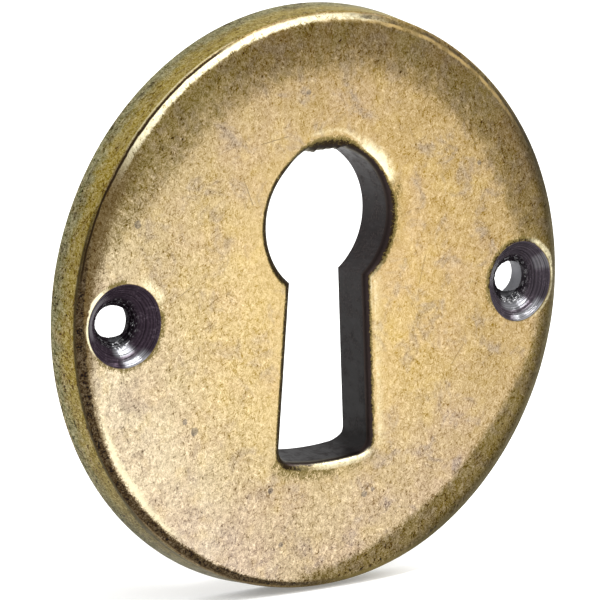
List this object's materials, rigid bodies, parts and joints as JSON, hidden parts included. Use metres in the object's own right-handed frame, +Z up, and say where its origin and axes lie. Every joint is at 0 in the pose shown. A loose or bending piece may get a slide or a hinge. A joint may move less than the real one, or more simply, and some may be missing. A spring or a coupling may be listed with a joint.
{
  "type": "keyhole escutcheon",
  "caption": "Round cast brass escutcheon plate with a domed front, a keyhole with a flared slot and countersunk screw holes, fixed over a lock's keyhole.",
  "frame": {"origin": "centre of the round plate, in the plane of the back rim that lies on the wood, midway between the screw holes", "axes": "+Z up as fixed, with the keyhole's slot pointing down; +Y out of the back, into the wood; the front faces -Y; +X to the right seen from the front"},
  "size_m": [0.032, 0.0027, 0.032],
  "materials": {
    "aged_brass": "aged cast brass: satin, finely grained front with brown patina, dark shoulder and holes"
  },
  "bodies": {
    "root": {"escutcheon_plate": "aged_brass"}
  },
  "joints": []
}
